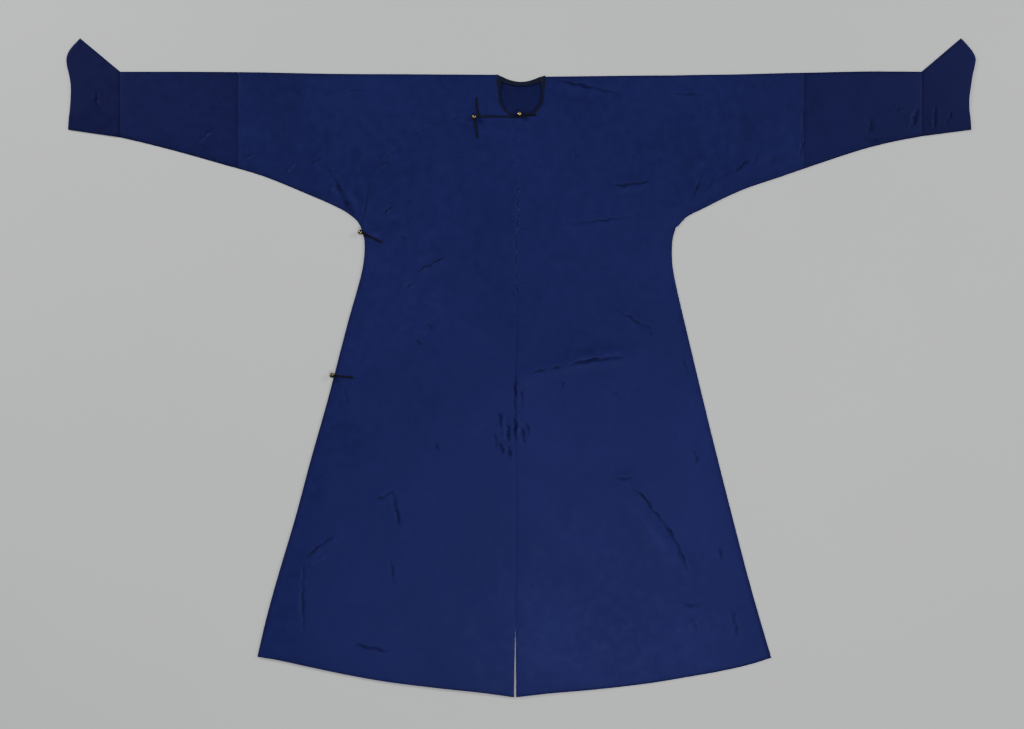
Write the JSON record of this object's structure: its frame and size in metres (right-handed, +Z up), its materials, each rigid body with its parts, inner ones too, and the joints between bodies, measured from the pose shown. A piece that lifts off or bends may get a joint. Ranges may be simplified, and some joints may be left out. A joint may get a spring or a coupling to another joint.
{
  "type": "informal court robe",
  "caption": "Long navy silk court robe laid flat, with horse-hoof cuffs, side-closing overlap, dark neck binding and ball buttons.",
  "frame": {"origin": "centre of the laid robe's outline, on the surface that it lies on", "axes": "+X towards the wearer's left cuff, +Y towards the neck, +Z up out of the front"},
  "size_m": [2.0884, 1.5149, 0.021],
  "materials": {
    "robe_silk": "navy silk with a soft sheen",
    "sleeve_silk": "plainer navy silk",
    "cuff_silk": "plain navy silk",
    "binding": "black satin binding",
    "loop_cloth": "black corded silk",
    "button_brass": "polished gilt brass"
  },
  "bodies": {
    "root": {"body_left": "robe_silk", "body_right": "robe_silk", "front_overlap": "robe_silk", "sleeve_left": "sleeve_silk", "sleeve_right": "sleeve_silk", "cuff_left": "cuff_silk", "cuff_right": "cuff_silk", "neck_binding": "binding", "overlap_binding": "binding", "neck_loop": "loop_cloth", "chest_loop": "loop_cloth", "armpit_loop": "loop_cloth", "side_loop": "loop_cloth", "chest_strap": "loop_cloth", "armpit_strap": "loop_cloth", "side_strap": "loop_cloth", "neck_button": "button_brass", "chest_button": "button_brass", "armpit_button": "button_brass", "side_button": "button_brass"}
  },
  "joints": []
}
